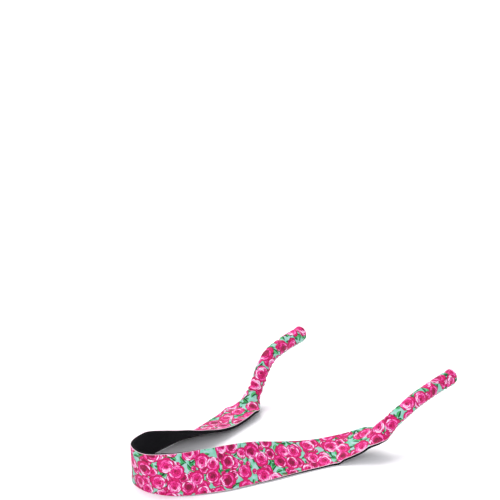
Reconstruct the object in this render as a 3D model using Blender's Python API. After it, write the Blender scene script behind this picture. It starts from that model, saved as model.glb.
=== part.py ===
"""A neoprene eyeglass retainer strap, standing as an open loop on a table.

The strap is one strip of laminate: a printed jersey face outside, a black foam core, and a black jersey lining
inside. At each end the strip is rolled into a sleeve for a temple of the glasses, and a seam closes the sleeve.
The strip is cut across at four hinge lines, where the real strap bends, so that its five stretches can swing.

Metres, +Z up. +Y points forward along the temples, +X to the wearer's right, and the table is at Z = 0.
"""

import math

import bpy
import numpy as np

# The laminate: a face, a core and a lining, with a hair of air between them.
FACE_THICKNESS = 0.0003
CORE_THICKNESS = 0.0015
LAYER_GAP = 0.0002
HALF_CORE = CORE_THICKNESS / 2
SKIN_INSIDE = HALF_CORE + LAYER_GAP
SKIN_OUTSIDE = SKIN_INSIDE + FACE_THICKNESS
SKIN_INSET = 0.0002  # the skins stop short of the foam's cut edge, which is what stands on the table

# The flat blank, measured from the mouth of either sleeve.
SLEEVE_LENGTH = 0.076
NECK_LENGTH = 0.028
SLEEVE_BLANK_WIDTH = 0.028
BAND_WIDTH = 0.034
TAPER_START = 0.150
TAPER_LENGTH = 0.080

# The closed sleeve: a round fold over the top, then two flanks that draw in until their linings nearly meet.
FOLD_SHARE = 0.46  # of each half of the blank, the part that makes its half of the fold
PINCH_LATENESS = 1.5  # 1 draws the flanks in halfway down, and more draws them in nearer the seam
SEAM_SLIT = 0.0002  # between the two linings, along the seam

# Centre of the strip, and how far its upper edge leans inwards (degrees), from the right mouth to the left mouth.
ROUTE = [
    (0.0800, 0.1162, 0.0390, 96),
    (0.0794, 0.0822, 0.0390, 96),
    (0.0783, 0.0592, 0.0370, 97),
    (0.0743, 0.0462, 0.0310, 96),
    (0.0663, 0.0352, 0.0220, 90),
    (0.0523, 0.0227, 0.0122, 79),
    (0.0373, 0.0057, 0.0071, 70),
    (0.0228, -0.0218, 0.0093, 56),
    (0.0083, -0.0538, 0.0140, 38),
    (-0.0112, -0.0908, 0.0163, 22),
    (-0.0307, -0.1138, 0.0171, 5),
    (-0.0497, -0.1203, 0.0170, -7),
    (-0.0650, -0.1138, 0.0170, -4),
    (-0.0744, -0.0928, 0.0168, 15),
    (-0.0746, -0.0683, 0.0143, 38),
    (-0.0712, -0.0473, 0.0115, 51),
    (-0.0682, -0.0298, 0.0085, 63),
    (-0.0662, -0.0128, 0.0058, 73),
    (-0.0652, 0.0082, 0.0038, 81),
    (-0.0652, 0.0282, 0.0044, 82),
    (-0.0657, 0.0437, 0.0078, 82),
    (-0.0657, 0.0567, 0.0160, 81),
    (-0.0657, 0.0667, 0.0290, 82),
    (-0.0657, 0.0772, 0.0370, 83),
    (-0.0661, 0.0922, 0.0390, 84),
    (-0.0666, 0.1237, 0.0390, 84),
]

# Hinge lines, measured from the nearest mouth along the strip.
NECK_HINGE = SLEEVE_LENGTH + NECK_LENGTH
RIGHT_BACK_HINGE = 0.236
LEFT_BACK_HINGE = 0.200
HINGE_GAP = 0.0006
SKIN_SET_BACK = 0.0012

# The seam: an overlock thread that wraps both edges of the rolled sleeve, locked by a back-tack at each end.
THREAD_RADIUS = 0.0002
THREAD_SIDES = 4
THREAD_CLEARANCE = 0.0005
STITCH_PITCH = 0.0025
STITCH_BITE = 0.0018
MOUTH_TACK = (0.0015, 0.0045)
SEAM_SPAN = (0.0055, 0.0715)
NECK_TACK = (0.0725, 0.0760)
TACK_THICKNESS = 0.0005

# Mesh fineness.
ROW_STEP = 0.006
SLEEVE_COLUMNS = 12
BAND_COLUMNS = 6
NOSE_ANGLES = (30, 60, 90)

MINT = (0.29, 0.62, 0.49)
ROSE = (0.76, 0.06, 0.22)
FOAM_BLACK = (0.010, 0.010, 0.012)
LINING_BLACK = (0.016, 0.014, 0.020)


def smooth_step(t):
    t = min(max(t, 0.0), 1.0)
    return t * t * (3 - 2 * t)


class Route:
    """A smooth line through the route's points, read by the distance along it."""

    SAMPLES_PER_SPAN = 60

    def __init__(self, stations):
        knots = np.array(stations)
        spans = np.linalg.norm(np.diff(knots[:, :3], axis=0), axis=1)[:, None]
        slopes = np.diff(knots, axis=0) / spans
        inner = (slopes[:-1] * spans[1:] + slopes[1:] * spans[:-1]) / (spans[:-1] + spans[1:])
        tangents = np.vstack([slopes[:1], inner, slopes[-1:]])
        t = np.linspace(0, 1, self.SAMPLES_PER_SPAN, endpoint=False)[None, :, None]
        start, end = knots[:-1, None], knots[1:, None]
        leave, arrive = (tangents[:-1] * spans)[:, None], (tangents[1:] * spans)[:, None]
        curve = (
            (2 * t**3 - 3 * t**2 + 1) * start
            + (t**3 - 2 * t**2 + t) * leave
            + (3 * t**2 - 2 * t**3) * end
            + (t**3 - t**2) * arrive
        )
        self.samples = np.vstack([curve.reshape(-1, 4), knots[-1]])
        steps = np.linalg.norm(np.diff(self.samples[:, :3], axis=0), axis=1)
        self.distances = np.concatenate([[0], np.cumsum(steps)])
        self.length = self.distances[-1]

    def read(self, s):
        return np.array([np.interp(s, self.distances, column) for column in self.samples.T])

    def frame(self, s):
        """Centre, direction along, direction across to the upper edge, and direction out of the face."""
        reach = 0.001
        ahead, behind = self.read(s + reach), self.read(s - reach)
        along = (ahead - behind)[:3]
        along /= np.linalg.norm(along)
        level = np.cross((0, 0, 1), along)
        level /= np.linalg.norm(level)
        upright = np.cross(along, level)
        x, y, z, lean = self.read(s)
        lean = math.radians(lean)
        across = math.cos(lean) * upright - math.sin(lean) * level
        outward = math.cos(lean) * level + math.sin(lean) * upright
        return np.array((x, y, z)), along, across, outward


def blank_width(from_mouth):
    taper = smooth_step((from_mouth - TAPER_START) / TAPER_LENGTH)
    return SLEEVE_BLANK_WIDTH + (BAND_WIDTH - SLEEVE_BLANK_WIDTH) * taper


def roll(from_mouth):
    """1 where the blank is rolled into the sleeve, 0 where it lies flat."""
    return 1 - smooth_step((from_mouth - SLEEVE_LENGTH) / NECK_LENGTH)


def rolled_turn(share, pinch):
    """How far the closed sleeve's section has turned from level at a share of the half width, -1 to 1.

    The turn reaches a right angle at the end of the fold, then passes it by up to pinch and comes back to it at the
    edge, so the two edges run down side by side.
    """
    reach = np.abs(share)
    past_fold = np.clip((reach - FOLD_SHARE) / (1 - FOLD_SHARE), 0, 1) ** PINCH_LATENESS
    turn = math.pi / 2 * np.minimum(reach / FOLD_SHARE, 1) + pinch * np.sin(np.pi * past_fold) ** 2
    return np.sign(share) * turn


def closing_pinch():
    """The pinch that brings the two linings to the seam slit."""
    share = np.linspace(0, 1, 401)
    wanted = SKIN_OUTSIDE + SEAM_SLIT / 2
    low, high = 0.0, math.pi / 2
    for _ in range(40):
        pinch = (low + high) / 2
        reach = np.cos(rolled_turn(share, pinch)).mean() * SLEEVE_BLANK_WIDTH / 2
        low, high = (pinch, high) if reach > wanted else (low, pinch)
    return pinch


class Strap:
    """The strip's middle surface, and its layers as offsets from it."""

    FINE = 240

    def __init__(self):
        self.route = Route(ROUTE)
        self.length = self.route.length
        self.pinch = closing_pinch()

    def section(self, s):
        """Across and outward places, and surface directions, of the middle surface, at FINE steps of width."""
        from_mouth = min(s, self.length - s)
        width = blank_width(from_mouth)
        share = np.linspace(-1, 1, self.FINE + 1)
        middle = (share[1:] + share[:-1]) / 2
        amount = roll(from_mouth)
        turn = amount * rolled_turn(middle, self.pinch)
        step = width / self.FINE
        across = np.concatenate([[0], np.cumsum(np.cos(turn) * step)])
        outward = np.concatenate([[0], np.cumsum(-np.sin(turn) * step)])
        turn_at = amount * rolled_turn(share, self.pinch)
        across -= across[self.FINE // 2]
        outward -= outward.mean()
        return share * width / 2, across, outward, turn_at

    def point(self, s, places, offset):
        """Points of the strip at distance s: places are widths from the middle line, offset is out of the face."""
        centre, _, across_axis, outward_axis = self.route.frame(s)
        flat, across, outward, turn = self.section(s)
        a = np.interp(places, flat, across + offset * np.sin(turn))
        o = np.interp(places, flat, outward + offset * np.cos(turn))
        return centre + np.outer(a, across_axis) + np.outer(o, outward_axis)

    def half_width(self, s):
        return blank_width(min(s, self.length - s)) / 2


STRAP = Strap()


def make_object(name, points, faces, material):
    mesh = bpy.data.meshes.new(name)
    mesh.from_pydata([tuple(map(float, p)) for p in points], [], faces)
    mesh.materials.append(material)
    mesh.update()
    obj = bpy.data.objects.new(name, mesh)
    bpy.context.scene.collection.objects.link(obj)
    return obj


def make_material(name, color, roughness):
    material = bpy.data.materials.new(name)
    material.use_nodes = True
    shader = material.node_tree.nodes["Principled BSDF"]
    shader.inputs["Base Color"].default_value = (*color, 1)
    shader.inputs["Roughness"].default_value = roughness
    shader.inputs["Metallic"].default_value = 0
    material.diffuse_color = (*color, 1)
    return material


def layer_faces(rows, columns, closed_to_a_line):
    """Triangles of a layer whose rows each hold columns + 1 outer points, then as many inner ones.

    closed_to_a_line says, for the first and the last row, that the outer and inner points are the same.
    """
    faces = []
    per_row = 2 * (columns + 1)

    def corner(row, column, inner):
        at_tip = (row == 0 and closed_to_a_line[0]) or (row == rows - 1 and closed_to_a_line[1])
        return row * per_row + column + (columns + 1 if inner and not at_tip else 0)

    def quad(a, b, c, d):
        for triangle in ((a, b, c), (a, c, d)):
            if len(set(triangle)) == 3:
                faces.append(triangle)

    for row in range(rows - 1):
        for column in range(columns):
            place = [(row, column), (row + 1, column), (row + 1, column + 1), (row, column + 1)]
            quad(*(corner(r, c, False) for r, c in place))
            a, b, c, d = (corner(r, c, True) for r, c in place)
            faces.extend([(a, c, b), (a, d, c)])
        for column, flip in ((0, False), (columns, True)):
            ring = [
                corner(row, column, True),
                corner(row + 1, column, True),
                corner(row + 1, column, False),
                corner(row, column, False),
            ]
            quad(*(ring[::-1] if flip else ring))
    for row, flip in ((0, False), (rows - 1, True)):
        if closed_to_a_line[0 if row == 0 else 1]:
            continue
        for column in range(columns):
            ring = [
                corner(row, column, False),
                corner(row, column + 1, False),
                corner(row, column + 1, True),
                corner(row, column, True),
            ]
            quad(*(ring[::-1] if flip else ring))
    return faces


def make_layer(name, rows, columns, edge_inset, material):
    """A closed sheet: rows are (distance along, inner offset, outer offset), and a row with equal offsets is a tip."""
    points = []
    for s, inner, outer in rows:
        half = STRAP.half_width(s) - edge_inset
        places = np.linspace(-half, half, columns + 1)
        points.extend(STRAP.point(s, places, outer))
        points.extend(STRAP.point(s, places, inner))
    tips = [rows[0][1] == rows[0][2], rows[-1][1] == rows[-1][2]]
    obj = make_object(name, points, layer_faces(len(rows), columns, tips), material)
    if any(tips):
        remove_loose_points(obj)
    return obj


def remove_loose_points(obj):
    """Drops the points that no face uses, which a tip row leaves behind."""
    mesh = obj.data
    used = sorted({index for face in mesh.polygons for index in face.vertices})
    new_index = {old: new for new, old in enumerate(used)}
    points = [tuple(mesh.vertices[index].co) for index in used]
    faces = [tuple(new_index[index] for index in face.vertices) for face in mesh.polygons]
    material = mesh.materials[0]
    mesh.clear_geometry()
    mesh.from_pydata(points, [], faces)
    mesh.materials.clear()
    mesh.materials.append(material)
    mesh.update()


def distances_between(start, end):
    steps = max(2, round((end - start) / ROW_STEP))
    return list(np.linspace(start, end, steps + 1))


def core_rows(start, end, start_is_hinge, end_is_hinge):
    """Rows of a core: at a hinge line it ends in a half-round nose, so that its neighbour can roll past it."""
    nose = HALF_CORE + HINGE_GAP / 2
    body_start = start + (nose if start_is_hinge else 0)
    body_end = end - (nose if end_is_hinge else 0)
    rows = [(s, -HALF_CORE, HALF_CORE) for s in distances_between(body_start, body_end)]
    arcs = []
    for degrees in NOSE_ANGLES:
        angle = math.radians(degrees)
        half = HALF_CORE * math.cos(angle) if degrees < 90 else 0.0
        arcs.append((HALF_CORE * math.sin(angle), half))
    if start_is_hinge:
        rows = [(body_start - out, -half, half) for out, half in reversed(arcs)] + rows
    if end_is_hinge:
        rows = rows + [(body_end + out, -half, half) for out, half in arcs]
    return rows


def skin_rows(start, end, start_is_hinge, end_is_hinge, inner, outer):
    first = start + (SKIN_SET_BACK if start_is_hinge else 0)
    last = end - (SKIN_SET_BACK if end_is_hinge else 0)
    return [(s, inner, outer) for s in distances_between(first, last)]


def make_stretch(name, start, end, columns, materials):
    """The face, core and lining of one stretch of the strip."""
    hinges = (start > 0, end < STRAP.length)
    make_layer(f"{name}_core", core_rows(start, end, *hinges), columns, 0, materials["core"])
    face = skin_rows(start, end, *hinges, SKIN_INSIDE, SKIN_OUTSIDE)
    make_layer(f"{name}_face", face, columns, SKIN_INSET, materials["face"])
    lining = skin_rows(start, end, *hinges, -SKIN_OUTSIDE, -SKIN_INSIDE)
    make_layer(f"{name}_lining", lining, columns, SKIN_INSET, materials["lining"])


def seam_section(s, clearance):
    """Four points round both edges of the rolled sleeve: down one flank, under the two edges, up the other flank.

    They keep the clearance to the printed face and to the cut edges.
    """
    half = STRAP.half_width(s)
    flank = half - STITCH_BITE
    points = STRAP.point(s, [-flank, -half, half, flank], SKIN_OUTSIDE + clearance)
    for edge, beside in ((1, 0), (2, 3)):
        down = points[edge] - points[beside]
        points[edge] += down / np.linalg.norm(down) * clearance
    return points


def make_tube(name, path, radius, sides, material):
    """A closed tube along a list of points."""
    path = np.array(path)
    points = []
    normal = None
    for index, place in enumerate(path):
        along = path[min(index + 1, len(path) - 1)] - path[max(index - 1, 0)]
        along /= np.linalg.norm(along)
        if normal is None:
            normal = np.cross(along, (0.3, 0.2, 0.9))
        normal = normal - along * np.dot(normal, along)
        normal /= np.linalg.norm(normal)
        binormal = np.cross(along, normal)
        for side in range(sides):
            angle = 2 * math.pi * side / sides
            points.append(place + radius * (math.cos(angle) * normal + math.sin(angle) * binormal))
    faces = []
    for ring in range(len(path) - 1):
        for side in range(sides):
            a, b = ring * sides + side, ring * sides + (side + 1) % sides
            faces.append((a, b, b + sides, a + sides))
    faces.append(tuple(range(sides))[::-1])
    faces.append(tuple((len(path) - 1) * sides + side for side in range(sides)))
    return make_object(name, points, faces, material)


def make_seam(side, from_mouth_to_s, material):
    """The overlock thread of one sleeve: it crosses both edges, back and forth, as one thread."""
    start, end = SEAM_SPAN
    lift = THREAD_CLEARANCE + THREAD_RADIUS
    crossings = 2 * round((end - start) / STITCH_PITCH)
    path = []
    for crossing in range(crossings):
        places = np.linspace(crossing, crossing + 1, 4)[:3] / crossings * (end - start) + start
        order = (0, 1, 2) if crossing % 2 == 0 else (3, 2, 1)
        for from_mouth, corner in zip(places, order):
            path.append(seam_section(from_mouth_to_s(from_mouth), lift)[corner])
    last_corner = 0 if crossings % 2 == 0 else 3
    path.append(seam_section(from_mouth_to_s(end), lift)[last_corner])
    make_tube(f"{side}_seam_thread", path, THREAD_RADIUS, THREAD_SIDES, material)


def make_tack(name, span, from_mouth_to_s, material):
    """A back-tack: a short bar of stitches piled on each other, bent round both edges of the sleeve."""
    rings = []
    for from_mouth in span:
        s = from_mouth_to_s(from_mouth)
        inner = seam_section(s, THREAD_CLEARANCE)
        outer = seam_section(s, THREAD_CLEARANCE + TACK_THICKNESS)
        rings.append(list(outer) + list(reversed(inner)))
    first, last = rings
    count = len(first)
    faces = [(i, (i + 1) % count, count + (i + 1) % count, count + i) for i in range(count)]
    for half in range(3):
        other = count - 1 - half
        faces.append((half, other, other - 1, half + 1))
        faces.append((count + half, count + half + 1, count + other - 1, count + other))
    obj = make_object(name, first + last, faces, material)
    if signed_volume(obj) < 0:
        obj.data.flip_normals()
    return obj


def signed_volume(obj):
    total = 0.0
    for face in obj.data.polygons:
        corners = [obj.data.vertices[index].co for index in face.vertices]
        for second, third in zip(corners[1:-1], corners[2:]):
            total += corners[0].dot(second.cross(third))
    return total


def main():
    for obj in list(bpy.data.objects):
        bpy.data.objects.remove(obj, do_unlink=True)
    materials = {
        "face": make_material("printed_jersey", ROSE, 0.75),
        "core": make_material("neoprene_foam", FOAM_BLACK, 0.85),
        "lining": make_material("black_jersey", LINING_BLACK, 0.8),
        "thread": make_material("seam_thread", MINT, 0.6),
    }
    end = STRAP.length
    make_stretch("right_sleeve", 0, NECK_HINGE, SLEEVE_COLUMNS, materials)
    make_stretch("right_band", NECK_HINGE, RIGHT_BACK_HINGE, BAND_COLUMNS, materials)
    make_stretch("back", RIGHT_BACK_HINGE, end - LEFT_BACK_HINGE, BAND_COLUMNS, materials)
    make_stretch("left_band", end - LEFT_BACK_HINGE, end - NECK_HINGE, BAND_COLUMNS, materials)
    make_stretch("left_sleeve", end - NECK_HINGE, end, SLEEVE_COLUMNS, materials)
    for side, to_s in (("right", lambda d: d), ("left", lambda d: end - d)):
        make_seam(side, to_s, materials["thread"])
        make_tack(f"{side}_mouth_backtack", MOUTH_TACK, to_s, materials["thread"])
        make_tack(f"{side}_neck_backtack", NECK_TACK, to_s, materials["thread"])
    for obj in bpy.data.objects:
        if obj.type == "MESH" and signed_volume(obj) < 0:
            obj.data.flip_normals()


main()
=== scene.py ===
import math

import bpy
import numpy as np
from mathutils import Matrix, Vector


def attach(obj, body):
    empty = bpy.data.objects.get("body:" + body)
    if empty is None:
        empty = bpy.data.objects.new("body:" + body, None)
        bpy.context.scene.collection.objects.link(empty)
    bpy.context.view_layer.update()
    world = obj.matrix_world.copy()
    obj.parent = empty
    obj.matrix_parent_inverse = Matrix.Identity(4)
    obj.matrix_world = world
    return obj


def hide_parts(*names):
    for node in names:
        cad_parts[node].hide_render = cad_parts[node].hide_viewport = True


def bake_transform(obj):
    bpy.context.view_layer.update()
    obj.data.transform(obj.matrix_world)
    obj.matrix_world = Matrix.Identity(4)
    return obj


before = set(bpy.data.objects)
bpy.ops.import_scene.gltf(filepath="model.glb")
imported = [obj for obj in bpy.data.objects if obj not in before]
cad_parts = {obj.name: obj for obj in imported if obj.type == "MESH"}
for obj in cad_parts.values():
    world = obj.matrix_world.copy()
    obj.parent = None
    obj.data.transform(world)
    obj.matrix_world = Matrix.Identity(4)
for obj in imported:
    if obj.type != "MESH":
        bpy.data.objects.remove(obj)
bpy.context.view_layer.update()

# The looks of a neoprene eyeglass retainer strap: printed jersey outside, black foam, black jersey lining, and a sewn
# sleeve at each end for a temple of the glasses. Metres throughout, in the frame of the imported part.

# ---------------------------------------------------------------- the strap's design values, as in the part

FACE_THICKNESS = 0.0003
CORE_THICKNESS = 0.0015
LAYER_GAP = 0.0002
SKIN_OUTSIDE = CORE_THICKNESS / 2 + LAYER_GAP + FACE_THICKNESS
SKIN_INSIDE = SKIN_OUTSIDE - 0.00042  # the jersey sinks a little into the foam it is glued to
CORE_OUTSIDE = SKIN_INSIDE - 0.00002

SLEEVE_LENGTH = 0.076
NECK_LENGTH = 0.028
SLEEVE_BLANK_WIDTH = 0.028
BAND_WIDTH = 0.034
TAPER_START = 0.150
TAPER_LENGTH = 0.080
FOLD_SHARE = 0.46
PINCH_LATENESS = 1.5
SEAM_SLIT = 0.0002

NECK_HINGE = 0.104
RIGHT_BACK_HINGE = 0.236
LEFT_BACK_HINGE = 0.200
SEAM_SPAN = (0.0055, 0.0715)
MOUTH_TACK = (0.0012, 0.0046)
NECK_TACK = (0.0722, 0.0762)

# Centre of the strip, and how far its upper edge leans inwards (degrees), from the right mouth to the left mouth.
ROUTE = [
    (0.0800, 0.1162, 0.0390, 96),
    (0.0794, 0.0822, 0.0390, 96),
    (0.0783, 0.0592, 0.0370, 97),
    (0.0743, 0.0462, 0.0310, 96),
    (0.0663, 0.0352, 0.0220, 90),
    (0.0523, 0.0227, 0.0122, 79),
    (0.0373, 0.0057, 0.0071, 70),
    (0.0228, -0.0218, 0.0093, 56),
    (0.0083, -0.0538, 0.0140, 38),
    (-0.0112, -0.0908, 0.0163, 22),
    (-0.0307, -0.1138, 0.0171, 5),
    (-0.0497, -0.1203, 0.0170, -7),
    (-0.0650, -0.1138, 0.0170, -4),
    (-0.0744, -0.0928, 0.0168, 15),
    (-0.0746, -0.0683, 0.0143, 38),
    (-0.0712, -0.0473, 0.0115, 51),
    (-0.0682, -0.0298, 0.0085, 63),
    (-0.0662, -0.0128, 0.0058, 73),
    (-0.0652, 0.0082, 0.0038, 81),
    (-0.0652, 0.0282, 0.0044, 82),
    (-0.0657, 0.0437, 0.0078, 82),
    (-0.0657, 0.0567, 0.0160, 81),
    (-0.0657, 0.0667, 0.0290, 82),
    (-0.0657, 0.0772, 0.0370, 83),
    (-0.0661, 0.0922, 0.0390, 84),
    (-0.0666, 0.1237, 0.0390, 84),
]

# ---------------------------------------------------------------- the strip's shape


def smooth_step(t):
    t = np.clip(t, 0, 1)
    return t * t * (3 - 2 * t)


def bump(x, centre, width):
    return np.exp(-(((x - centre) / width) ** 2))


class Route:
    """A smooth line through the route's points, read by the distance along it."""

    SAMPLES_PER_SPAN = 60
    DIRECTION_REACH = 0.001

    def __init__(self, stations):
        knots = np.array(stations)
        spans = np.linalg.norm(np.diff(knots[:, :3], axis=0), axis=1)[:, None]
        slopes = np.diff(knots, axis=0) / spans
        inner = (slopes[:-1] * spans[1:] + slopes[1:] * spans[:-1]) / (spans[:-1] + spans[1:])
        tangents = np.vstack([slopes[:1], inner, slopes[-1:]])
        t = np.linspace(0, 1, self.SAMPLES_PER_SPAN, endpoint=False)[None, :, None]
        start, end = knots[:-1, None], knots[1:, None]
        leave, arrive = (tangents[:-1] * spans)[:, None], (tangents[1:] * spans)[:, None]
        curve = (
            (2 * t**3 - 3 * t**2 + 1) * start
            + (t**3 - 2 * t**2 + t) * leave
            + (3 * t**2 - 2 * t**3) * end
            + (t**3 - t**2) * arrive
        )
        self.samples = np.vstack([curve.reshape(-1, 4), knots[-1]])
        steps = np.linalg.norm(np.diff(self.samples[:, :3], axis=0), axis=1)
        self.distances = np.concatenate([[0], np.cumsum(steps)])
        self.length = self.distances[-1]

    def read(self, s):
        return np.stack([np.interp(s, self.distances, column) for column in self.samples.T], axis=-1)

    def frames(self, s):
        """Centres, directions across to the upper edge, and directions out of the face, at distances s."""
        reach = self.DIRECTION_REACH
        along = (self.read(s + reach) - self.read(s - reach))[:, :3]
        along /= np.linalg.norm(along, axis=1, keepdims=True)
        level = np.cross((0, 0, 1), along)
        level /= np.linalg.norm(level, axis=1, keepdims=True)
        upright = np.cross(along, level)
        place = self.read(s)
        lean = np.radians(place[:, 3:])
        across = np.cos(lean) * upright - np.sin(lean) * level
        outward = np.cos(lean) * level + np.sin(lean) * upright
        return place[:, :3], across, outward


def blank_width(from_mouth):
    taper = smooth_step((from_mouth - TAPER_START) / TAPER_LENGTH)
    return SLEEVE_BLANK_WIDTH + (BAND_WIDTH - SLEEVE_BLANK_WIDTH) * taper


def rolled_turn(share, pinch):
    """How far the closed sleeve's section has turned from level at a share of the half width, -1 to 1."""
    reach = np.abs(share)
    past_fold = np.clip((reach - FOLD_SHARE) / (1 - FOLD_SHARE), 0, 1) ** PINCH_LATENESS
    turn = math.pi / 2 * np.minimum(reach / FOLD_SHARE, 1) + pinch * np.sin(np.pi * past_fold) ** 2
    return np.sign(share) * turn


def closing_pinch():
    """The pinch that brings the two linings to the seam slit."""
    share = np.linspace(0, 1, 401)
    wanted = SKIN_OUTSIDE + SEAM_SLIT / 2
    low, high = 0.0, math.pi / 2
    for _ in range(40):
        pinch = (low + high) / 2
        reach = np.cos(rolled_turn(share, pinch)).mean() * SLEEVE_BLANK_WIDTH / 2
        low, high = (pinch, high) if reach > wanted else (low, pinch)
    return pinch


class Strip:
    """The strip's middle surface with its fine relief, and its layers as offsets from it."""

    FINE = 240
    FLOOR_CLEARANCE = 0.0003
    SETTLED_GAP = 0.0012  # settled in full up to this, and not at all from twice this
    SETTLING_RUN = 0.03

    def __init__(self):
        self.route = Route(ROUTE)
        self.length = self.route.length
        self.pinch = closing_pinch()

    def from_mouth(self, s):
        return np.minimum(s, self.length - s)

    def half_width(self, s):
        return blank_width(self.from_mouth(s)) / 2

    def points(self, s, places, offsets):
        """Points for each distance in s: places and offsets have one row for each. Places are from the middle line."""
        centre, across_axis, outward_axis = self.route.frames(s)
        from_mouth = self.from_mouth(s)[:, None]
        half = self.half_width(s)[:, None]
        amount = 1 - smooth_step((from_mouth - SLEEVE_LENGTH) / NECK_LENGTH)
        step = np.arange(self.FINE + 1)
        share = 2 * step / self.FINE - 1
        turn = amount * rolled_turn((share[1:] + share[:-1]) / 2, self.pinch)
        zero = np.zeros((len(s), 1))
        across = np.hstack([zero, np.cumsum(np.cos(turn), axis=1)]) * 2 * half / self.FINE
        outward = np.hstack([zero, np.cumsum(-np.sin(turn), axis=1)]) * 2 * half / self.FINE
        across -= across[:, self.FINE // 2 : self.FINE // 2 + 1]
        outward -= outward.mean(axis=1, keepdims=True)
        turn_at = amount * rolled_turn(share, self.pinch)

        spot = np.clip((places / half + 1) / 2 * self.FINE, 0, self.FINE - 1e-6)
        low = spot.astype(int)
        part = spot - low

        def read(table):
            rows = np.arange(len(s))[:, None]
            return table[rows, low] * (1 - part) + table[rows, low + 1] * part

        lifted = offsets + self.relief(s[:, None], places / half)
        a = read(across) + lifted * np.sin(read(turn_at))
        o = read(outward) + lifted * np.cos(read(turn_at))
        points = centre[:, None] + a[..., None] * across_axis[:, None] + o[..., None] * outward_axis[:, None]
        points[..., 2] -= self.gap_to_floor(s)[:, None] * (1 - places / half) / 2
        return points

    def gap_to_floor(self, s):
        """How far the band's lower edge has to settle to touch the floor. The necks and sleeves stay where they are."""
        centre, across_axis, outward_axis = self.route.frames(s)
        depth = (SKIN_OUTSIDE + self.FLOOR_CLEARANCE) * np.abs(outward_axis[:, 2])
        gap = centre[:, 2] - self.half_width(s) * across_axis[:, 2] - depth
        near_floor = 1 - smooth_step((gap - self.SETTLED_GAP) / self.SETTLED_GAP)
        on_band = smooth_step((self.from_mouth(s) - NECK_HINGE) / self.SETTLING_RUN)
        return np.maximum(gap, 0) * near_floor * on_band

    def relief(self, s, share):
        """How far the laminate stands out of its smooth shape: mouth lip, wrinkles, seam puckers and soft waves."""
        is_right = s < self.length / 2
        m = self.from_mouth(s)
        lip = 0.00030 * bump(m, 0, 0.0022) - 0.00042 * bump(m, 0.0056, 0.0017) + 0.00018 * bump(m, 0.0105, 0.0032)
        return (
            lip
            + np.where(is_right, right_wrinkles(m, share), left_wrinkles(m, share))
            + seam_puckers(m, share)
            + band_waves(s, m, share)
        )


CREASE_SHARPNESS = 0.20
RIGHT_MOUTH_CREASES = 0.00155  # depths
RIGHT_NECK_CREASES = 0.00100
RIGHT_MIDDLE_CREASES = 0.00068
LEFT_SLEEVE_CREASES = 0.00130
LEFT_BEND_CREASES = 0.00070
LEFT_NECK_CREASES = 0.00070
GATHER_DEPTH = 0.00034
GATHER_PITCH = 0.0036
STITCH_DEPTH = 0.00009
STITCH_PITCH = 0.0022
LONG_WAVE = 0.00022
SHORT_WAVE = 0.00009


def creases(m, share, spacing, drift, slant):
    """Broad ridges with narrow creases between them, running round a sleeve: 0 on a ridge and -1 in a crease."""
    phase = m / spacing + 0.28 * np.sin(2 * np.pi * m / 0.0207 + drift) + slant * share
    phase = phase + 0.16 * np.sin(4.1 * share + m / 0.0093 + drift) + 0.07 * np.sin(9.7 * share - m / 0.0041)
    to_crease = np.abs(phase - np.round(phase))
    patchy = 0.62 + 0.38 * np.sin(2.3 * share + m / 0.0121 + 2 * drift)
    return -np.exp(-((to_crease / CREASE_SHARPNESS) ** 2)) * patchy


def right_wrinkles(m, share):
    mouth_end = smooth_step((m - 0.007) / 0.004) * (1 - smooth_step((m - 0.034) / 0.012))
    neck = bump(m, 0.082, 0.011)
    middle = smooth_step((m - 0.030) / 0.01) * (1 - smooth_step((m - 0.090) / 0.02))
    deep = creases(m, share, spacing=0.0052, drift=1.3, slant=0.35)
    shallow = creases(m, share, spacing=0.0117, drift=4.0, slant=-0.55)
    at_mouth = RIGHT_MOUTH_CREASES * deep * mouth_end
    return at_mouth + RIGHT_NECK_CREASES * deep * neck + RIGHT_MIDDLE_CREASES * shallow * middle


def left_wrinkles(m, share):
    sleeve = smooth_step((m - 0.008) / 0.004) * (1 - smooth_step((m - 0.078) / 0.02))
    bend = bump(m, 0.046, 0.016) * (0.4 + 0.6 * share**2)
    neck = bump(m, 0.086, 0.010)
    deep = creases(m, share, spacing=0.0058, drift=0.4, slant=-0.42)
    shallow = creases(m, share, spacing=0.0102, drift=2.2, slant=0.6)
    on_sleeve = LEFT_SLEEVE_CREASES * deep * sleeve
    return on_sleeve + LEFT_BEND_CREASES * deep * bend + LEFT_NECK_CREASES * shallow * neck


def seam_puckers(m, share):
    """The taut seam gathers the flanks beside it, and each stitch draws them in a little more."""
    sewn = smooth_step((m - SEAM_SPAN[0]) / 0.002) * (1 - smooth_step((m - SEAM_SPAN[1]) / 0.003))
    flank = smooth_step((np.abs(share) - 0.38) / 0.30)
    beside = smooth_step((np.abs(share) - 0.72) / 0.14)
    uneven = 0.7 + 0.3 * np.sin(2 * np.pi * m / 0.0171 + 2 * np.sign(share))
    gathers = np.cos(2 * np.pi * m / GATHER_PITCH + 1.1 * np.sin(m / 0.0053) + 0.8 * share)
    stitches = -STITCH_DEPTH * beside * (1 + np.cos(2 * np.pi * m / STITCH_PITCH))
    return sewn * (GATHER_DEPTH * flank * uneven * gathers + stitches)


def band_waves(s, m, share):
    """The faint unevenness of a laminate that has been worn."""
    flat = smooth_step((m - 0.080) / 0.04)
    long_wave = np.sin(2 * np.pi * s / 0.071 + 1.1 + 1.3 * share) * np.cos(1.4 * share + s / 0.031)
    short_wave = np.sin(2 * np.pi * s / 0.0263 + 2.7 * share) * np.cos(2 * np.pi * s / 0.113)
    return flat * (LONG_WAVE * long_wave + SHORT_WAVE * short_wave)


STRIP = Strip()
END = STRIP.length

# ---------------------------------------------------------------- meshes

SLEEVE_STEP = 0.0006
BAND_STEP = 0.0012
EDGE_ROUND = 0.00012
ROUND_ANGLES = (30, 60)
SHARP_ANGLE = math.radians(50)


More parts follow.
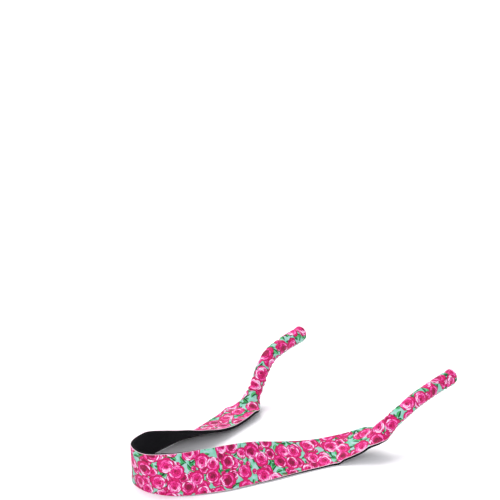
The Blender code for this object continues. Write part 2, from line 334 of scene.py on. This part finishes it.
def row_distances(start, end):
    """Distances of a mesh's rows: close on the sleeves, wider on the band, and closest at a mouth."""
    cuts = [start, end]
    for border in (NECK_HINGE + 0.012, END - NECK_HINGE - 0.012):
        if start < border < end:
            cuts.insert(1, border)
    rows = []
    for low, high in zip(cuts, cuts[1:]):
        on_sleeve = STRIP.from_mouth((low + high) / 2) < NECK_HINGE
        count = round((high - low) / (SLEEVE_STEP if on_sleeve else BAND_STEP))
        rows.extend(np.linspace(low, high, count + 1)[:-1])
    rows.append(end)
    near_mouth = [EDGE_ROUND * part for part in (0.15, 0.5, 1.0)]
    if start == 0:
        rows.extend(near_mouth)
    if end == END:
        rows.extend(END - distance for distance in near_mouth)
    return np.array(sorted(rows))


def layer_loop(s, low, high, round_low, round_high, columns):
    """The closed outline of a layer at each distance in s, as places and offsets, and how far each point is from a cut.

    It runs over the outer side from the lower edge to the upper one, round the corner, and back along the inner side.
    """
    half = STRIP.half_width(s)[:, None]
    mouth = STRIP.from_mouth(s)[:, None]
    inset = np.clip(EDGE_ROUND - mouth, 0, EDGE_ROUND)
    drop = EDGE_ROUND - np.sqrt(np.maximum(EDGE_ROUND**2 - inset**2, 0))
    top = high - drop * round_high
    bottom = low + drop * round_low
    share = np.linspace(-1, 1, columns + 1)[None, :]
    body = half - EDGE_ROUND
    arc = np.radians(ROUND_ANGLES)[None, :]
    high_arc = body + EDGE_ROUND * np.sin(arc), top - EDGE_ROUND * round_high * (1 - np.cos(arc))
    low_arc = body + EDGE_ROUND * np.sin(arc[:, ::-1]), bottom + EDGE_ROUND * round_low * (1 - np.cos(arc[:, ::-1]))
    wall = [half, half], [top - EDGE_ROUND * round_high, bottom + EDGE_ROUND * round_low]
    corner_places = np.hstack([high_arc[0], *wall[0], low_arc[0]])
    corner_offsets = np.hstack([high_arc[1], *wall[1], low_arc[1]])
    flat_places = body * share
    ones = np.ones_like(flat_places)
    places = np.hstack([flat_places, corner_places, flat_places[:, ::-1], -corner_places[:, ::-1]])
    offsets = np.hstack([top * ones, corner_offsets, bottom * ones, corner_offsets[:, ::-1]])
    from_cut = np.minimum(half - np.abs(places), mouth)
    on_wall = np.zeros_like(places, dtype=bool)
    for first in (columns + 1, 2 * (columns + 1) + corner_places.shape[1]):
        on_wall[:, first : first + corner_places.shape[1]] = True
    return places, offsets, np.where(on_wall, 0, from_cut)


def loop_faces(rows, columns, loop_size):
    """Quads along the rows, and the two ends closed across."""
    index = np.arange(rows * loop_size).reshape(rows, loop_size)
    ahead = np.roll(index, -1, axis=1)
    sides = np.stack([index[:-1], index[1:], ahead[1:], ahead[:-1]], axis=-1).reshape(-1, 4)
    faces = [tuple(face) for face in sides]
    corner = loop_size // 2 - (columns + 1)
    for row, flip in ((0, False), (rows - 1, True)):
        ring = list(index[row])
        outer = ring[: columns + 1]
        inner = ring[columns + 1 + corner : 2 * (columns + 1) + corner][::-1]
        ends = [
            [*ring[columns : columns + corner + 2]],
            [*ring[2 * columns + 1 + corner :], ring[0]],
        ]
        caps = [[outer[c], outer[c + 1], inner[c + 1], inner[c]] for c in range(columns)] + ends
        faces.extend(tuple(cap[::-1] if flip else cap) for cap in caps)
    return faces


def make_mesh(name, points, faces, material, flat=None):
    mesh = bpy.data.meshes.new(name)
    mesh.from_pydata(points.reshape(-1, 3).tolist(), [], faces)
    mesh.materials.append(material)
    if flat is not None:
        attribute = mesh.attributes.new("flat", "FLOAT_VECTOR", "POINT")
        attribute.data.foreach_set("vector", flat.reshape(-1, 3).astype(np.float32).ravel())
    mesh.shade_smooth()
    mesh.set_sharp_from_angle(angle=SHARP_ANGLE)
    mesh.update()
    obj = bpy.data.objects.new(name, mesh)
    bpy.context.scene.collection.objects.link(obj)
    return obj


def make_layer(name, span, low, high, round_low, round_high, columns, material):
    """One layer of one length of the strip, as a closed mesh that knows where it lies on the flat blank."""
    s = row_distances(*span)
    places, offsets, from_cut = layer_loop(s, low, high, round_low, round_high, columns)
    points = STRIP.points(s, places, offsets)
    flat = np.stack([np.broadcast_to(s[:, None], places.shape), places, from_cut], axis=-1)
    faces = loop_faces(len(s), columns, places.shape[1])
    return make_mesh(name, points, faces, material, flat)


def smooth_path(corners, per_corner):
    """A smooth curve that passes near the corners: each one is rounded by a quadratic arc."""
    corners = np.array(corners)
    middles = (corners[1:] + corners[:-1]) / 2
    t = np.linspace(0, 1, per_corner, endpoint=False)[:, None]
    pieces = [corners[:1]]
    for start, corner, end in zip(middles, corners[1:-1], middles[1:]):
        pieces.append((1 - t) ** 2 * start + 2 * t * (1 - t) * corner + t**2 * end)
    pieces.append(corners[-1:])
    return np.vstack(pieces)


def tube(name, paths, radius, sides, material):
    """Closed round tubes along one or more paths, in one mesh."""
    all_points, all_faces, all_flat = [], [], []
    count = 0
    for path in paths:
        ahead = np.vstack([path[1:], path[-1:]]) - np.vstack([path[:1], path[:-1]])
        ahead /= np.linalg.norm(ahead, axis=1, keepdims=True)
        length = np.concatenate([[0], np.cumsum(np.linalg.norm(np.diff(path, axis=0), axis=1))])
        normal = np.cross(ahead[0], (0.31, 0.22, 0.92))
        for index, place in enumerate(path):
            normal = normal - ahead[index] * np.dot(normal, ahead[index])
            normal /= np.linalg.norm(normal)
            side_way = np.cross(ahead[index], normal)
            end_scale = 0.55 if index in (0, len(path) - 1) else 1.0
            for side in range(sides):
                angle = 2 * math.pi * side / sides
                way = math.cos(angle) * normal + math.sin(angle) * side_way
                all_points.append(place + radius * end_scale * way)
                all_flat.append((length[index], angle, 0))
        for ring in range(len(path) - 1):
            for side in range(sides):
                a = count + ring * sides + side
                b = count + ring * sides + (side + 1) % sides
                all_faces.append((a, b, b + sides, a + sides))
        last = count + (len(path) - 1) * sides
        all_faces.append(tuple(range(count, count + sides))[::-1])
        all_faces.append(tuple(range(last, last + sides)))
        count = len(all_points)
    return make_mesh(name, np.array(all_points), all_faces, material, np.array(all_flat))


# ---------------------------------------------------------------- shader formulas


class Number:
    """A number that varies over a surface. Arithmetic on it adds Math nodes."""

    def __init__(self, shader, socket):
        self.shader = shader
        self.socket = socket

    def math(self, operation, *others):
        node = self.shader.node("ShaderNodeMath", operation=operation)
        for slot, value in zip(node.inputs, (self, *others)):
            self.shader.feed(slot, value)
        return Number(self.shader, node.outputs[0])

    def __add__(self, other):
        return self.math("ADD", other)

    def __sub__(self, other):
        return self.math("SUBTRACT", other)

    def __mul__(self, other):
        return self.math("MULTIPLY", other)

    def __truediv__(self, other):
        return self.math("DIVIDE", other)

    def __pow__(self, other):
        return self.math("POWER", other)

    def __neg__(self):
        return self * -1

    def __rsub__(self, other):
        return -self + other

    def __abs__(self):
        return self.math("ABSOLUTE")

    __radd__ = __add__
    __rmul__ = __mul__

    def sine(self):
        return self.math("SINE")

    def cosine(self):
        return self.math("COSINE")

    def floor(self):
        return self.math("FLOOR")

    def fraction(self):
        return self.math("FRACT")

    def root(self):
        return self.math("SQRT")

    def rise(self, low, high):
        """0 below low, 1 above high, and smooth between."""
        node = self.shader.node("ShaderNodeMapRange", interpolation_type="SMOOTHSTEP")
        for slot, value in (("Value", self), ("From Min", low), ("From Max", high)):
            self.shader.feed(node.inputs[slot], value)
        return Number(self.shader, node.outputs["Result"])

    def fall(self, low, high):
        return 1 - self.rise(low, high)

    def mix(self, other, share):
        return self + (other - self) * share


class Shader:
    """A material whose colour and bump are written as formulas."""

    def __init__(self, name, roughness, **surface):
        self.material = bpy.data.materials.new(name)
        self.material.use_nodes = True
        self.tree = self.material.node_tree
        self.surface = self.tree.nodes["Principled BSDF"]
        self.surface.inputs["Roughness"].default_value = roughness
        for key, value in surface.items():
            self.surface.inputs[key.replace("_", " ")].default_value = value

    def node(self, kind, **settings):
        made = self.tree.nodes.new(kind)
        for key, value in settings.items():
            setattr(made, key, value)
        return made

    def feed(self, slot, value):
        if isinstance(value, Number):
            self.tree.links.new(value.socket, slot)
        else:
            slot.default_value = value

    def flat(self):
        """Where the surface lies on the flat blank: distance along, place across, and distance from a cut edge."""
        attribute = self.node("ShaderNodeAttribute", attribute_name="flat")
        return self.split(attribute.outputs["Vector"])

    def split(self, vector):
        node = self.node("ShaderNodeSeparateXYZ")
        self.tree.links.new(vector, node.inputs[0])
        return [Number(self, output) for output in node.outputs]

    def vector(self, x, y, z=0.0):
        node = self.node("ShaderNodeCombineXYZ")
        for slot, value in zip(node.inputs, (x, y, z)):
            self.feed(slot, value)
        return node.outputs[0]

    def cells(self, x, y, jitter):
        """The nearest of a scatter of points, about 1 apart: x and y from it, and three random numbers of its own."""
        node = self.node("ShaderNodeTexVoronoi", voronoi_dimensions="2D", feature="F1")
        self.tree.links.new(self.vector(x, y), node.inputs["Vector"])
        node.inputs["Scale"].default_value = 1
        node.inputs["Randomness"].default_value = jitter
        centre_x, centre_y, _ = self.split(node.outputs["Position"])
        colours = self.node("ShaderNodeSeparateColor")
        self.tree.links.new(node.outputs["Color"], colours.inputs[0])
        return x - centre_x, y - centre_y, [Number(self, output) for output in colours.outputs]

    def noise(self, x, y, scale, detail=2.0):
        node = self.node("ShaderNodeTexNoise", noise_dimensions="2D")
        self.tree.links.new(self.vector(x, y), node.inputs["Vector"])
        node.inputs["Scale"].default_value = scale
        node.inputs["Detail"].default_value = detail
        return Number(self, node.outputs["Fac"])

    def random(self, x, y):
        node = self.node("ShaderNodeTexWhiteNoise", noise_dimensions="2D")
        self.tree.links.new(self.vector(x, y), node.inputs["Vector"])
        return Number(self, node.outputs["Value"])

    def ramp(self, tone, stops):
        """A colour read from stops of (tone, colour)."""
        node = self.node("ShaderNodeValToRGB")
        elements = node.color_ramp.elements
        while len(elements) < len(stops):
            elements.new(0.5)
        for element, (position, colour) in zip(elements, stops):
            element.position = position
            element.color = linear(colour)
        self.feed(node.inputs["Fac"], tone)
        return node.outputs["Color"]

    def blend(self, under, over, share, kind="MIX"):
        """Colour over laid on colour under by a share. Either is a socket or a colour."""
        node = self.node("ShaderNodeMix", data_type="RGBA", blend_type=kind)
        self.feed(node.inputs[0], share)
        for slot, colour in ((node.inputs[6], under), (node.inputs[7], over)):
            if isinstance(colour, bpy.types.NodeSocket):
                self.tree.links.new(colour, slot)
            else:
                slot.default_value = linear(colour)
        return node.outputs[2]

    def grey(self, level):
        node = self.node("ShaderNodeCombineColor")
        for slot in node.inputs:
            self.feed(slot, level)
        return node.outputs[0]

    def colour(self, socket):
        self.tree.links.new(socket, self.surface.inputs["Base Color"])

    def raise_surface(self, height, depth):
        node = self.node("ShaderNodeBump")
        node.inputs["Distance"].default_value = depth
        node.inputs["Strength"].default_value = 1.0
        self.feed(node.inputs["Height"], height)
        self.tree.links.new(node.outputs["Normal"], self.surface.inputs["Normal"])


def linear(colour):
    """A scene-linear colour from a hex sRGB one."""
    parts = [int(colour[i : i + 2], 16) / 255 for i in (1, 3, 5)]
    return (*[p / 12.92 if p <= 0.04045 else ((p + 0.055) / 1.055) ** 2.4 for p in parts], 1.0)


def knit(along, across, pitch):
    """Height of a jersey's plain knit, 0 to 1: columns of small V-shaped stitches."""
    column = (along / pitch).fraction() - 0.5
    legs = (across / (pitch * 0.8) + abs(column) * 1.3) * (2 * math.pi)
    return (legs.sine() * 0.5 + 0.5) * (1 - column * column * 3.0)


# ---------------------------------------------------------------- the print

JERSEY_PITCH = 0.00052
LINING_PITCH = 0.00060
THREAD_TWIST = 0.0011
BRUSH_SCALE = 1150
ROSE_SPACING = 0.0134
UNDER_SPACING = 0.0124
BUD_SPACING = 0.0079
LEAF_SPACING = 0.0058
PRINT_TILT = math.radians(24)
PETAL_TONES = [
    (0.00, "#7C0638"),
    (0.13, "#A8084E"),
    (0.27, "#CC0B60"),
    (0.44, "#E82187"),
    (0.62, "#F45AAF"),
    (0.80, "#FB99D6"),
    (1.00, "#FFD6F3"),
]
# Each ring of petals: its share of the rose's radius, its petals, and the tones at its foot and at its rim.
ROSE_RINGS = [
    (1.00, 5, 0.26, 0.34),
    (0.83, 5, 0.42, 1.00),
    (0.64, 5, 0.24, 0.96),
    (0.46, 4, 0.18, 0.80),
    (0.30, 3, 0.22, 0.62),
    (0.15, 2, 0.06, 0.24),
]
BUD_RINGS = [ROSE_RINGS[0], ROSE_RINGS[2], ROSE_RINGS[4]]
SCALLOP = 0.16
ROSE_LEAN = 0.27


def turned(x, y, angle):
    c, s = angle.cosine(), angle.sine()
    return x * c + y * s, y * c - x * s


def rose(shader, x, y, radius, random, rings, strokes):
    """A rose seen from above: rings of petals painted from the outside in. Returns its mask and its tone."""
    turn, depth, seed = random
    x, y = turned(x / radius, y / radius, turn * (2 * math.pi))
    mask, tone = None, None
    for number, (reach, petals, foot, rim) in enumerate(rings):
        px = x + ROSE_LEAN * math.sqrt(1 - reach)
        distance = (px * px + y * y).root()
        angle = y.math("ARCTAN2", px) + (turn * 5 + number * 1.9)
        lobe = abs((angle * (petals / 2)).cosine())
        share = distance / ((lobe**0.7) * (SCALLOP * reach) + reach * (1 - SCALLOP))
        petal = (angle * (petals / (2 * math.pi)) + 0.5).floor().math("FLOORED_MODULO", petals)
        own = shader.random(petal + number * 7, seed * 91)
        lit_side = (px / reach).fall(-0.7, 0.75)
        gleam = share.rise(0.50, 0.80) * share.fall(0.88, 0.96) * (lit_side * 0.85 + 0.30)
        between = lobe.fall(0.0, 0.34) * share.rise(0.25, 0.75)
        outline = share.rise(0.89, 0.96)
        shade = foot + gleam * (rim - foot) * (own * 1.15 + 0.28)
        shade = shade - between * 0.26 - outline * 0.24 + strokes * 0.46
        if number > 1:
            shade = shade - depth.rise(0.5, 0.8) * 0.26
        inside = share.fall(0.97, 1.0)
        mask = inside if mask is None else mask
        tone = shade if tone is None else tone.mix(shade, inside)
    return mask, tone


def leaf(shader, x, y, length, width, random):
    """A pointed leaf with a pale midrib and one dark half. Returns its mask and its tone."""
    x, y = turned(x, y, random[0] * (2 * math.pi))
    bow = y + x * x * 0.5
    room = (1 - (x / length) ** 2.0) * width - abs(bow)
    mask = room.rise(0.0, 0.015) * abs(x).fall(length * 0.98, length) * random[1].rise(0.12, 0.14)
    rib = abs(bow).fall(0.012, 0.035)
    tone = bow.rise(-0.03, 0.03) * 0.42 + random[2] * 0.30 + rib * 0.22 + room.rise(0.0, 0.06) * 0.12 - 0.06
    return mask, tone


LEAF_TONES = [(0.0, "#081A13"), (0.32, "#0F5230"), (0.62, "#249A4C"), (1.0, "#7FDD9C")]


def printed_jersey():
    """Polyester jersey printed with pink roses and green leaves on mint. The white yarn shows where it is cut."""
    shader = Shader("printed_jersey", 0.62, Specular_IOR_Level=0.22, Sheen_Weight=0.03, Sheen_Roughness=0.4)
    along, across, from_cut = shader.flat()
    c, s = math.cos(PRINT_TILT), math.sin(PRINT_TILT)
    u, v = along * c + across * s, across * c - along * s
    strokes = shader.noise(u, v, BRUSH_SCALE) - 0.5

    clouds = shader.noise(along, across, 190)
    colour = shader.ramp(clouds, [(0.32, "#74CAA9"), (0.50, "#8ACAB8"), (0.66, "#A8CBC6")])

    for spacing, shift, length, width in ((LEAF_SPACING, 3.7, 0.60, 0.23), (LEAF_SPACING * 1.35, 11.3, 0.56, 0.17)):
        x, y, random = shader.cells(u / spacing + shift, v / spacing - shift, 0.95)
        mask, tone = leaf(shader, x, y, length, width, random)
        colour = shader.blend(colour, shader.ramp(tone, LEAF_TONES), mask)

    x, y, random = shader.cells(u / BUD_SPACING - 5.2, v / BUD_SPACING + 8.1, 0.9)
    mask, tone = rose(shader, x, y, 0.20 + random[2] * 0.12, random, BUD_RINGS, strokes)
    colour = shader.blend(colour, shader.ramp(tone, PETAL_TONES), mask * random[1].rise(0.30, 0.32))

    x, y, random = shader.cells(u / UNDER_SPACING + 21.4, v / UNDER_SPACING - 2.6, 0.7)
    mask, tone = rose(shader, x, y, 0.38 + random[2] * 0.06, random, ROSE_RINGS[:5], strokes)
    colour = shader.blend(colour, shader.ramp(tone, PETAL_TONES), mask * random[0].rise(0.18, 0.20))

    x, y, random = shader.cells(u / ROSE_SPACING, v / ROSE_SPACING, 0.50)
    mask, tone = rose(shader, x, y, 0.465 + random[2] * 0.07, random, ROSE_RINGS, strokes)
    colour = shader.blend(colour, shader.ramp(tone, PETAL_TONES), mask)

    stitches = knit(along, across, JERSEY_PITCH)
    # painted shade: the print is darkened to 85 percent in the knit's hollows and to 95 percent on the stitch tops
    colour = shader.blend(colour, shader.grey(stitches * 0.10 + 0.85), 1.0, "MULTIPLY")
    raw_edge = from_cut.fall(0.00005, 0.00026)
    shader.colour(shader.blend(colour, "#E9D3DF", raw_edge * 0.8))
    shader.raise_surface(stitches, 0.00005)
    return shader.material


def lining_jersey():
    """Matt black jersey, with the faint grey bloom that black polyester has, and painted shade in the knit's hollows.
    """
    shader = Shader("black_jersey", 0.92, Specular_IOR_Level=0.08, Sheen_Weight=0.015, Sheen_Roughness=0.5)
    along, across, _ = shader.flat()
    stitches = knit(along, across, LINING_PITCH)
    bloom = shader.noise(along, across, 90, 3.0)
    # painted shade: the knit's hollows are darker and the stitch tops lighter, mixed with the random grey bloom
    level = stitches * 0.35 + bloom * 0.65
    shader.colour(shader.ramp(level, [(0.15, "#09080C"), (0.55, "#110F15"), (0.9, "#1A1720")]))
    shader.raise_surface(stitches, 0.00006)
    return shader.material


def foam():
    """Black closed-cell neoprene, seen where it is cut: fine cells with painted shade in their hollows and a dull skin
    between them.
    """
    shader = Shader("neoprene_foam", 0.92, Specular_IOR_Level=0.10)
    along, across, _ = shader.flat()
    coordinates = shader.node("ShaderNodeTexCoord")
    cells = shader.node("ShaderNodeTexVoronoi", feature="F1")
    cells.inputs["Scale"].default_value = 3600
    shader.tree.links.new(coordinates.outputs["Object"], cells.inputs["Vector"])
    pores = Number(shader, cells.outputs["Distance"])
    drift = shader.noise(along, across, 240)
    # painted shade: each pore is darkest at its hollow centre and lighter towards the skin between the pores, mixed
    # with a slow random drift
    level = pores * 0.6 + drift * 0.4
    shader.colour(shader.ramp(level, [(0.1, "#060607"), (0.5, "#0D0D0F"), (0.9, "#17171A")]))
    shader.raise_surface(pores, 0.00008)
    return shader.material


def sewing_thread():
    """Two-ply polyester thread: the plies wind round each other, with painted shade in the grooves between them."""
    shader = Shader("seam_thread", 0.55, Specular_IOR_Level=0.4, Sheen_Weight=0.1)
    along, angle, _ = shader.flat()
    plies = (along * (2 * math.pi / THREAD_TWIST) + angle * 2).sine() * 0.5 + 0.5
    # painted shade: darker in the grooves between the plies and lighter on their crests
    shader.colour(shader.ramp(plies, [(0.0, "#8FBFB0"), (0.5, "#BFE3D6"), (1.0, "#D5F0E6")]))
    shader.raise_surface(plies, 0.00005)
    return shader.material


# ---------------------------------------------------------------- the strap's pieces

FACE_COLUMNS = 48
CORE_COLUMNS = 36
RIGHT_CUT = (NECK_HINGE + RIGHT_BACK_HINGE) / 2
BACK_CUT = (RIGHT_BACK_HINGE + END - LEFT_BACK_HINGE) / 2
LEFT_CUT = END - (LEFT_BACK_HINGE + NECK_HINGE) / 2


NECK_BEND_REACH = 0.026  # how far each side of its hinge line a bend spreads, along the strip
RIGHT_BACK_BEND_REACH = 0.036
LEFT_BACK_BEND_REACH = 0.034


class Length:
    """A length of the strip across one hinge line: its name, its span, its two bodies and its hinge."""

    def __init__(self, name, span, bodies, hinge, bend, stands_for):
        self.name = name
        self.span = span
        self.bodies = bodies
        self.hinge = hinge
        self.bend = bend
        self.stands_for = stands_for


LENGTHS = [
    Length(
        "right_sleeve",
        (0, RIGHT_CUT),
        ("right_sleeve", "right_band"),
        NECK_HINGE,
        NECK_BEND_REACH,
        ["right_sleeve"],
    ),
    Length(
        "right_band",
        (RIGHT_CUT, BACK_CUT),
        ("right_band", "back"),
        RIGHT_BACK_HINGE,
        RIGHT_BACK_BEND_REACH,
        ["right_band", "back"],
    ),
    Length(
        "left_band",
        (BACK_CUT, LEFT_CUT),
        ("back", "left_band"),
        END - LEFT_BACK_HINGE,
        LEFT_BACK_BEND_REACH,
        ["back", "left_band"],
    ),
    Length(
        "left_sleeve",
        (LEFT_CUT, END),
        ("left_band", "left_sleeve"),
        END - NECK_HINGE,
        NECK_BEND_REACH,
        ["left_sleeve"],
    ),
]


def middle_point(s):
    return Vector(STRIP.route.read(np.array([s]))[0, :3])


def flat_area(span):
    s = np.linspace(*span, 200)
    return float(np.mean(2 * STRIP.half_width(s)) * (span[1] - span[0]))


def build_length(length, materials):
    """The three layers of one length."""
    layers = {
        "foam": ("core", "neoprene_foam", -CORE_OUTSIDE, CORE_OUTSIDE, 1, 1, CORE_COLUMNS),
        "printed_face": ("face", "printed_jersey", SKIN_INSIDE, SKIN_OUTSIDE, 0, 1, FACE_COLUMNS),
        "lining": ("lining", "black_jersey", -SKIN_OUTSIDE, -SKIN_INSIDE, 1, 0, FACE_COLUMNS),
    }
    width = 2 * float(STRIP.half_width(np.linspace(*length.span, 50)).max())
    for layer, (node, slot, low, high, round_low, round_high, columns) in layers.items():
        name = f"{length.name}_{layer}_layer"
        piece = make_layer(name, length.span, low, high, round_low, round_high, columns, materials[slot])
        middle_point(length.hinge - length.bend)
        middle_point(length.hinge + length.bend)
        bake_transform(piece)
        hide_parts(*[f"{body}_{node}" for body in length.stands_for])
    for layer in ("printed_face", "lining"):
        flat_area(length.span)


# ---------------------------------------------------------------- the sleeves' seams

THREAD_RADIUS = 0.00016
NEEDLE_LINE = 0.0021  # how far the needle threads run from the cut edges
STITCH_LENGTH_SHARE = 0.72
THREAD_SIDES = 6
TACK_CROSSINGS = 22


def seam_points(from_mouth, side, places_from_edge, lift, is_upper):
    """Points on one flank of a sleeve beside its seam. A negative place is past the cut edge, below it."""
    s = from_mouth if side == "right" else END - from_mouth
    half = STRIP.half_width(s)[:, None]
    places = half - np.maximum(places_from_edge, 0)[None, :]
    sign = 1 if is_upper else -1
    lifts = np.full_like(places, SKIN_OUTSIDE) + lift
    points = STRIP.points(s, sign * places, lifts)
    below = points - STRIP.points(s, sign * (places - 0.0005), lifts)
    below /= np.linalg.norm(below, axis=2, keepdims=True)
    return points + below * np.maximum(-places_from_edge, 0)[None, :, None]


def overlock_path(side):
    """The looper thread: down one flank, under both cut edges, up the other flank, and back."""
    start, end = SEAM_SPAN
    crossings = 2 * round((end - start) / STITCH_PITCH)
    path = []
    down = np.array([NEEDLE_LINE, 0.0012, 0.0003, -0.00022])
    for crossing in range(crossings):
        on_upper = crossing % 2 == 0
        where = start + (crossing + np.array([0.10, 0.25, 0.36, 0.42])) / crossings * (end - start)
        back = start + (crossing + 1 - np.array([0.42, 0.36, 0.25, 0.10])) / crossings * (end - start)
        rows = seam_points(where, side, down, THREAD_RADIUS * 0.6, on_upper)
        path.extend(rows[i, i] for i in range(4))
        rows = seam_points(back, side, down[::-1], THREAD_RADIUS * 0.6, not on_upper)
        path.extend(rows[i, i] for i in range(4))
    return smooth_path(path, 3)


def needle_paths(side):
    """Two rows of short needle stitches, one along each flank."""
    paths = []
    start, end = SEAM_SPAN
    count = round((end - start) / STITCH_PITCH)
    reach = STITCH_PITCH * STITCH_LENGTH_SHARE / 2
    for is_upper in (True, False):
        for stitch in range(count):
            middle = start + (stitch + 0.5) * STITCH_PITCH
            where = middle + reach * np.array([-1, -0.8, 0, 0.8, 1])
            lifts = np.array([-1.2, 0.35, 0.75, 0.35, -1.2]) * THREAD_RADIUS
            rows = seam_points(where, side, np.array([NEEDLE_LINE]), lifts[:, None], is_upper)
            paths.append(rows[:, 0])
    return paths


def backtack_path(side, span, rounds):
    """A back-tack: tight crossings piled over one another."""
    down = np.array([NEEDLE_LINE + 0.0004, 0.0012, 0.0002, -0.0003])
    path = []
    for crossing in range(rounds):
        share = abs((crossing / (rounds - 1)) * 4 % 2 - 1)
        where = np.full(4, span[0] + share * (span[1] - span[0])) + 0.00009 * np.arange(4)
        lift = THREAD_RADIUS * (0.9 + 1.1 * crossing / rounds)
        on_upper = crossing % 2 == 0
        rows = seam_points(where, side, down, lift, on_upper)
        path.extend(rows[i, i] for i in range(4))
        rows = seam_points(where, side, down, lift, not on_upper)
        path.extend(rows[i, i] for i in reversed(range(4)))
    return smooth_path(path, 3)


def build_seam(side, material):
    body = f"{side}_sleeve"
    paths = [overlock_path(side), *needle_paths(side)]
    thread = tube(f"{side}_overlock_thread", paths, THREAD_RADIUS, THREAD_SIDES, material)
    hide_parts(f"{side}_seam_thread")
    pieces = [thread]
    for where, span in (("mouth", MOUTH_TACK), ("neck", NECK_TACK)):
        name = f"{side}_{where}_backtack_stitches"
        path = backtack_path(side, span, TACK_CROSSINGS)
        tack = tube(name, [path], THREAD_RADIUS, THREAD_SIDES, material)
        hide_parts(f"{side}_{where}_backtack")
        pieces.append(tack)
    for piece in pieces:
        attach(piece, body)


# ---------------------------------------------------------------- floor, light and camera

VIEW_AZIMUTH = math.radians(32.4)
VIEW_ELEVATION = math.radians(25)
VIEW_DISTANCE = 3.475
VIEW_POINT = Vector((0.0683, -0.0037, 0.020))  # beside the right neck, seen from the azimuth and elevation above
STANDS_RIGHT = math.radians(1.363)  # how far that point stands from the middle of the picture
STANDS_LOW = math.radians(2.535)
LENS_MM = 324
SENSOR_MM = 36
FLOOR_REACH = 12
WORLD_COLOUR = (0.965, 0.965, 1.0, 1)
WORLD_STRENGTH = 0.74
KEY_WATTS = 52
FRONT_WATTS = 30


def build_camera():
    data = bpy.data.cameras.new("camera")
    data.lens = LENS_MM
    data.sensor_width = SENSOR_MM
    data.clip_start = 0.1
    data.clip_end = 50
    camera = bpy.data.objects.new("camera", data)
    level = math.cos(VIEW_ELEVATION)
    back = Vector((
        math.sin(VIEW_AZIMUTH) * level,
        -math.cos(VIEW_AZIMUTH) * level,
        math.sin(VIEW_ELEVATION),
    ))
    camera.location = VIEW_POINT + back * VIEW_DISTANCE
    towards_point = Vector((math.tan(STANDS_RIGHT), -math.tan(STANDS_LOW), -1))
    camera.rotation_mode = "QUATERNION"
    camera.rotation_quaternion = (-back).to_track_quat("-Z", "Y") @ towards_point.rotation_difference((0, 0, -1))
    bpy.context.scene.collection.objects.link(camera)
    bpy.context.scene.camera = camera


def area_light(name, place, aim, size, power, colour):
    data = bpy.data.lights.new(name, "AREA")
    data.shape = "DISK"
    data.size = size
    data.energy = power
    data.color = colour
    light = bpy.data.objects.new(name, data)
    light.location = place
    light.rotation_mode = "QUATERNION"
    light.rotation_quaternion = (Vector(aim) - Vector(place)).to_track_quat("-Z", "Y")
    bpy.context.scene.collection.objects.link(light)


def build_stage():
    reach = FLOOR_REACH
    corners = np.array([(-reach, -reach, 0), (reach, -reach, 0), (reach, reach, 0), (-reach, reach, 0)], float)
    shader = Shader("studio_floor", 0.85, Specular_IOR_Level=0.15)
    shader.surface.inputs["Base Color"].default_value = linear("#FAF9FB")
    floor = make_mesh("studio_floor", corners, [(0, 1, 2, 3)], shader.material)
    world = bpy.data.worlds.new("studio")
    world.use_nodes = True
    background = world.node_tree.nodes["Background"]
    background.inputs["Color"].default_value = WORLD_COLOUR
    background.inputs["Strength"].default_value = WORLD_STRENGTH
    bpy.context.scene.world = world
    area_light("key", (-1.0, 0.55, 2.2), (0, 0, 0), 2.2, KEY_WATTS, (1.0, 0.99, 0.97))
    area_light("front", (1.1, -2.0, 1.25), (0, 0, 0), 1.8, FRONT_WATTS, (0.97, 0.98, 1.0))
    bpy.context.scene.view_settings.view_transform = "Standard"


# ---------------------------------------------------------------- the scene

build_camera()
build_stage()
MATERIALS = {
    "printed_jersey": printed_jersey(),
    "black_jersey": lining_jersey(),
    "neoprene_foam": foam(),
}
for one_length in LENGTHS:
    build_length(one_length, MATERIALS)
THREAD = sewing_thread()
for one_side in ("right", "left"):
    build_seam(one_side, THREAD)
